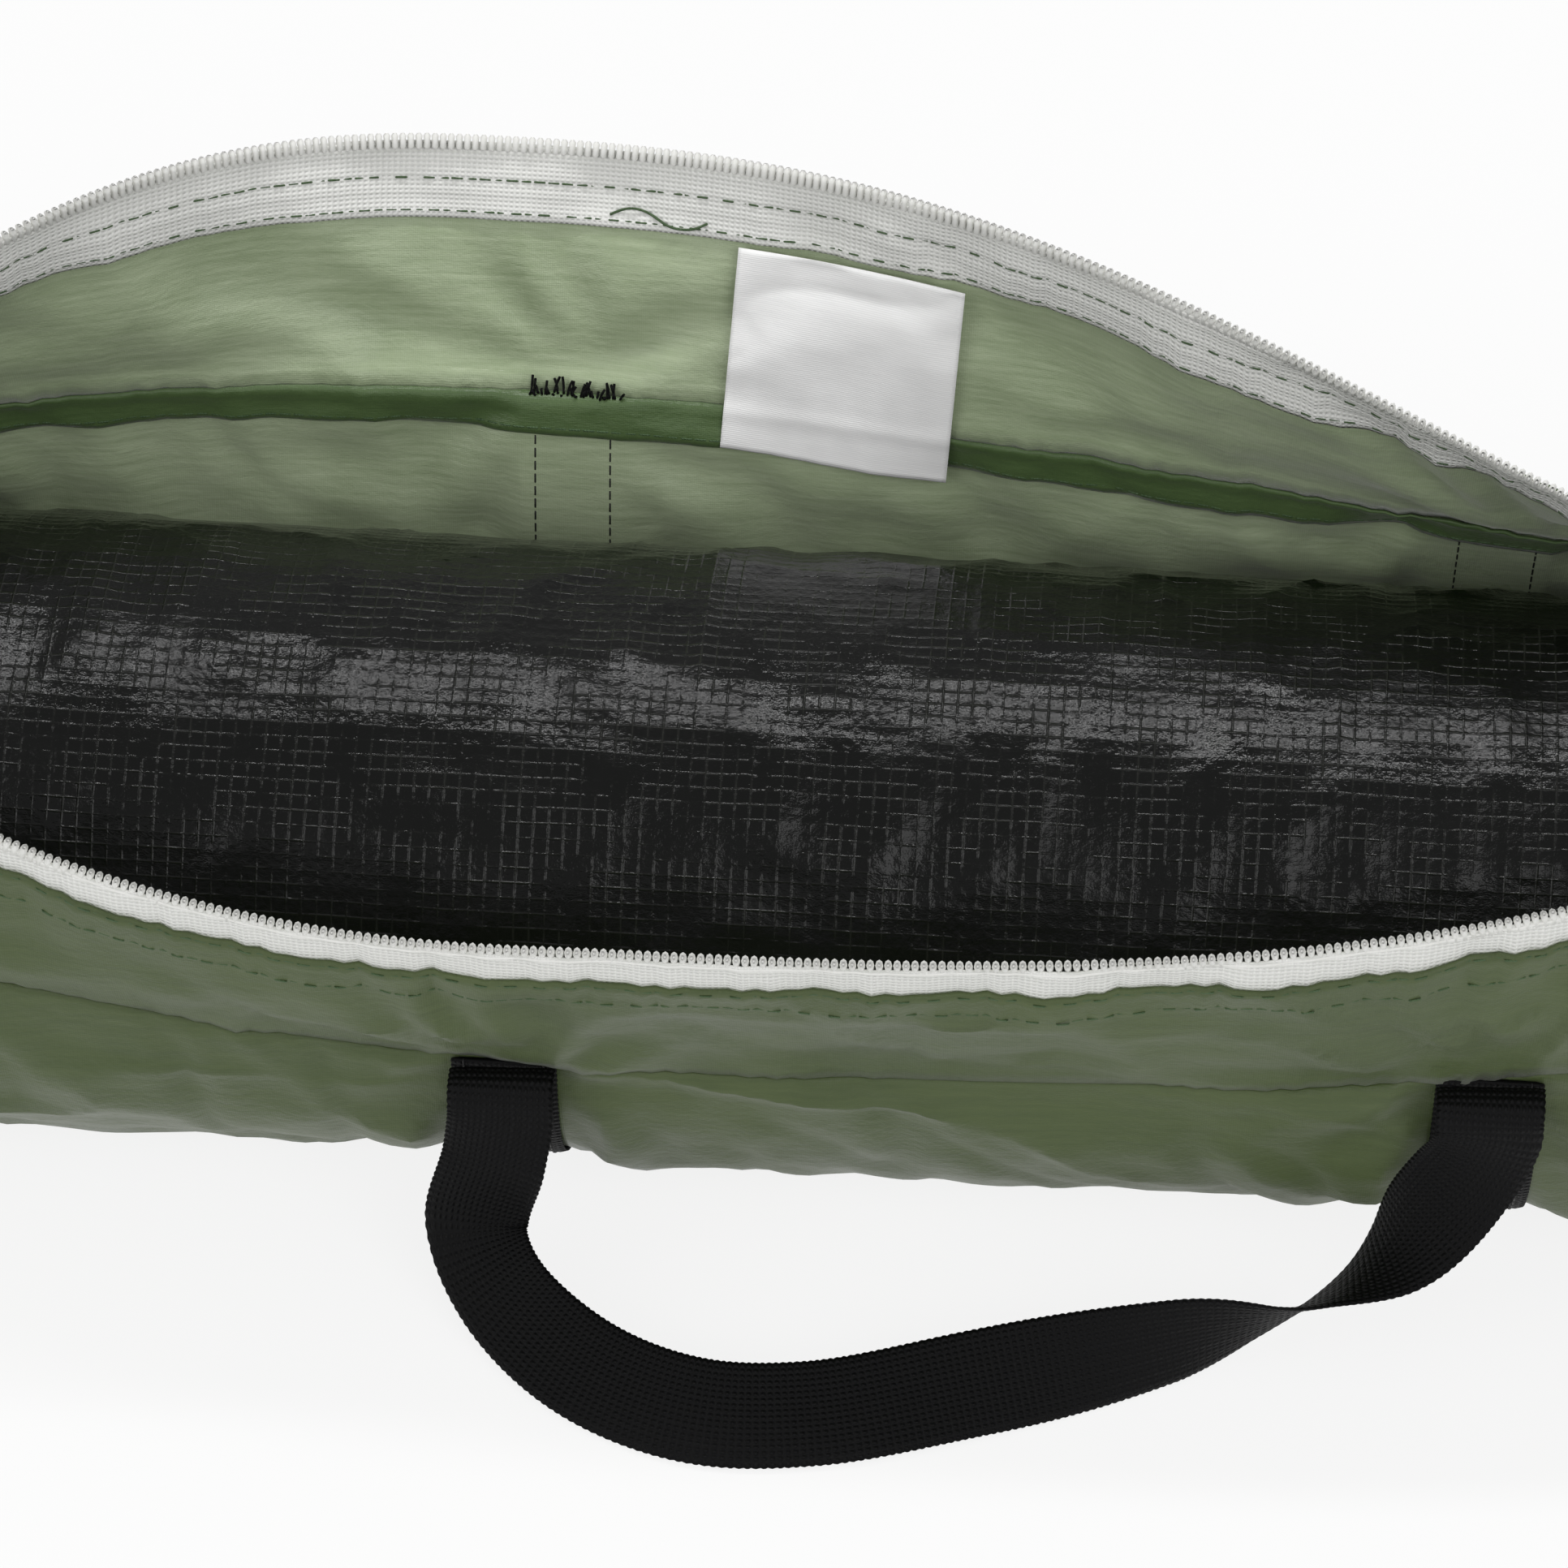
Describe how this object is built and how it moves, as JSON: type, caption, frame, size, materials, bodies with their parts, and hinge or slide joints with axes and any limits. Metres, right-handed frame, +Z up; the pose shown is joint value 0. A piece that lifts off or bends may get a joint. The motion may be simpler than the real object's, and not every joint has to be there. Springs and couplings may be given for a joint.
{
  "type": "packed bivy shelter in a zipped carry bag",
  "caption": "Zipped coated-cloth carry bag lying open, with webbing handles and a shelter rolled up in its woven groundsheet inside.",
  "frame": {"origin": "on the floor, under the middle of the bag, half way between its two webbing straps", "axes": "+X along the bag to the end where the zip slider is parked, +Y to the rear flap of the mouth, +Z up"},
  "size_m": [0.6018, 0.2187, 0.1467],
  "materials": {
    "bag_cloth": "green coated taffeta, satin outside and paler inside",
    "zip_tape": "white knitted polyester tape",
    "zip_coil": "white moulded coil",
    "zip_metal": "nickel plated",
    "webbing": "black ribbed webbing",
    "label_satin": "white satin, blank",
    "groundsheet": "glossy black woven polyethylene sheet",
    "shelter_cloth": "thin green taffeta",
    "fibreglass": "smooth dark tube",
    "steel": "zinc plated",
    "shock_cord": "braided elastic"
  },
  "bodies": {
    "bag": {"body_panel": "bag_cloth", "front_top_panel": "bag_cloth", "rear_top_panel": "bag_cloth", "left_end_panel": "bag_cloth", "right_end_panel": "bag_cloth", "front_zip_tape": "zip_tape", "rear_zip_tape": "zip_tape", "front_zip_coil": "zip_coil", "rear_zip_coil": "zip_coil", "front_zip_top_stop": "zip_coil", "rear_zip_top_stop": "zip_coil", "zip_bottom_stop": "zip_coil", "left_strap": "webbing", "right_strap": "webbing"},
    "slider": {"zip_slider": "zip_metal"},
    "pull_tab": {"zip_pull_tab": "zip_metal"},
    "front_handle": {"front_handle": "webbing"},
    "rear_handle": {"rear_handle": "webbing"},
    "label": {"label": "label_satin"},
    "roll": {"groundsheet_roll": "groundsheet", "canopy_roll": "shelter_cloth", "pole_1_section_1": "fibreglass", "pole_1_section_2": "fibreglass", "pole_1_section_3": "fibreglass", "pole_1_ferrule_1": "steel", "pole_1_ferrule_2": "steel", "pole_1_shock_cord": "shock_cord", "pole_2_section_1": "fibreglass", "pole_2_section_2": "fibreglass", "pole_2_section_3": "fibreglass", "pole_2_ferrule_1": "steel", "pole_2_ferrule_2": "steel", "pole_2_shock_cord": "shock_cord", "peg_pouch": "shelter_cloth", "peg_1": "steel", "peg_2": "steel", "peg_3": "steel", "peg_4": "steel"}
  },
  "joints": [
    {"name": "zip_slide", "type": "slide", "parent": "bag", "child": "slider", "axis": [1, 0, 0], "range_m": [0, 0.037]},
    {"name": "pull_tab_swing", "type": "hinge", "parent": "slider", "child": "pull_tab", "pos_m": [0.2388, -0.00207, 0.11103], "axis": [0, -0.9995, -0.0308], "range_deg": [0, 170]},
    {"name": "front_handle_swing", "type": "hinge", "parent": "bag", "child": "front_handle", "pos_m": [0, -0.06645, 0.05845], "axis": [-0.9978, 0.0007, -0.066], "range_deg": [0, 85]},
    {"name": "rear_handle_swing", "type": "hinge", "parent": "bag", "child": "rear_handle", "pos_m": [0, 0.064, 0.09544], "axis": [0.993, -0.1181, -0.0012], "range_deg": [0, 90]},
    {"name": "label_flap", "type": "hinge", "parent": "bag", "child": "label", "pos_m": [-0.037, 0.07116, 0.12949], "axis": [-0.9485, 0.3156, -0.0271], "range_deg": [0, 90]},
    {"name": "roll_lift", "type": "slide", "parent": "bag", "child": "roll", "axis": [0, -0.1977, 0.9803], "range_m": [0, 0.2], "deforming": ["body_panel", "front_top_panel", "rear_top_panel", "front_zip_tape", "rear_zip_tape", "front_zip_coil", "rear_zip_coil", "left_strap", "right_strap"]}
  ]
}
